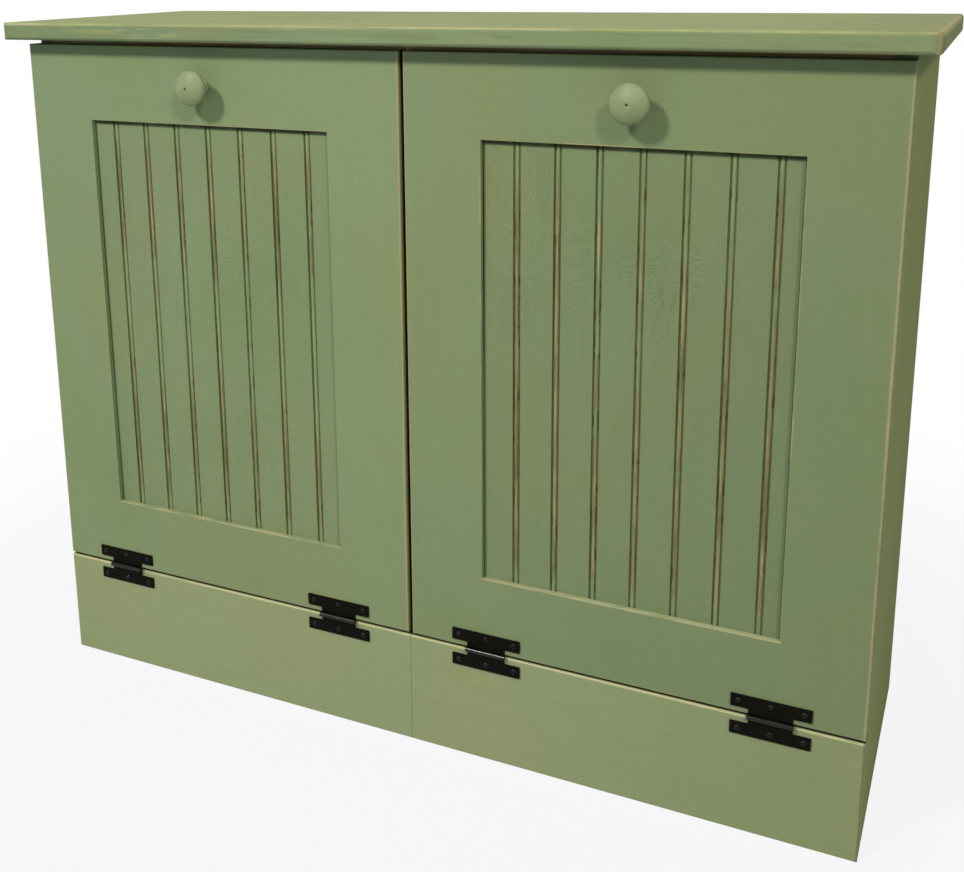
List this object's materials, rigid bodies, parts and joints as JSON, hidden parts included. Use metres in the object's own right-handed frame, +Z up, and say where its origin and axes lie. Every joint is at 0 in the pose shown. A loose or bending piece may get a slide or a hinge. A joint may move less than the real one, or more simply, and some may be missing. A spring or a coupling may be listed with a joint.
{
  "type": "tilt-out trash cabinet",
  "caption": "Painted wooden cabinet whose beaded doors tilt out at the top on H-hinges along their lower edge, each with a bin carrier behind it.",
  "frame": {"origin": "on the floor, under the middle of the cabinet's body, doors included and top board's overhang not", "axes": "+X along the front to the viewer's right, -Y out of the doors, +Z up"},
  "size_m": [0.98, 0.3515, 0.781],
  "materials": {
    "painted_wood": "milk paint, worn at the edges",
    "bare_wood": "planed and unpainted",
    "black_iron": "black, satin",
    "zinc_steel": "zinc plated",
    "magnet": "dull",
    "catch_plastic": "moulded",
    "bin_plastic": "moulded, fine grain"
  },
  "bodies": {
    "cabinet": {"top_board": "painted_wood", "left_side_panel": "painted_wood", "right_side_panel": "painted_wood", "centre_divider": "bare_wood", "floor_panel": "bare_wood", "back_panel": "bare_wood", "left_base_board": "painted_wood", "right_base_board": "painted_wood", "centre_support": "bare_wood", "front_stretcher": "bare_wood", "rear_stretcher": "bare_wood", "left_catch_case": "catch_plastic", "right_catch_case": "catch_plastic", "left_catch_magnet": "magnet", "right_catch_magnet": "magnet", "left_stop_blocks": "bare_wood", "right_stop_blocks": "bare_wood", "left_outer_hinge_base_leaf": "black_iron", "left_inner_hinge_base_leaf": "black_iron", "right_inner_hinge_base_leaf": "black_iron", "right_outer_hinge_base_leaf": "black_iron", "hinge_pins": "black_iron", "cabinet_screws": "black_iron"},
    "left_door": {"left_door_left_stile": "painted_wood", "left_door_right_stile": "painted_wood", "left_door_top_rail": "painted_wood", "left_door_bottom_rail": "painted_wood", "left_bead_panel": "painted_wood", "left_knob": "painted_wood", "left_knob_screw": "zinc_steel", "left_outer_hinge_door_leaf": "black_iron", "left_inner_hinge_door_leaf": "black_iron", "left_door_screws": "black_iron", "left_strike_plate": "zinc_steel", "left_carrier_batten": "bare_wood", "left_carrier_outer_arm": "bare_wood", "left_carrier_inner_arm": "bare_wood", "left_carrier_floor": "bare_wood", "left_carrier_back_rail": "bare_wood", "left_carrier_screws": "zinc_steel", "left_bin": "bin_plastic"},
    "right_door": {"right_door_left_stile": "painted_wood", "right_door_right_stile": "painted_wood", "right_door_top_rail": "painted_wood", "right_door_bottom_rail": "painted_wood", "right_bead_panel": "painted_wood", "right_knob": "painted_wood", "right_knob_screw": "zinc_steel", "right_outer_hinge_door_leaf": "black_iron", "right_inner_hinge_door_leaf": "black_iron", "right_door_screws": "black_iron", "right_strike_plate": "zinc_steel", "right_carrier_batten": "bare_wood", "right_carrier_outer_arm": "bare_wood", "right_carrier_inner_arm": "bare_wood", "right_carrier_floor": "bare_wood", "right_carrier_back_rail": "bare_wood", "right_carrier_screws": "zinc_steel", "right_bin": "bin_plastic"}
  },
  "joints": [
    {"name": "left_door_tilt", "type": "hinge", "parent": "cabinet", "child": "left_door", "pos_m": [-0.23625, -0.164, 0.1285], "axis": [1, 0, 0], "range_deg": [0, 30]},
    {"name": "right_door_tilt", "type": "hinge", "parent": "cabinet", "child": "right_door", "pos_m": [0.23625, -0.164, 0.1285], "axis": [1, 0, 0], "range_deg": [0, 30]}
  ]
}
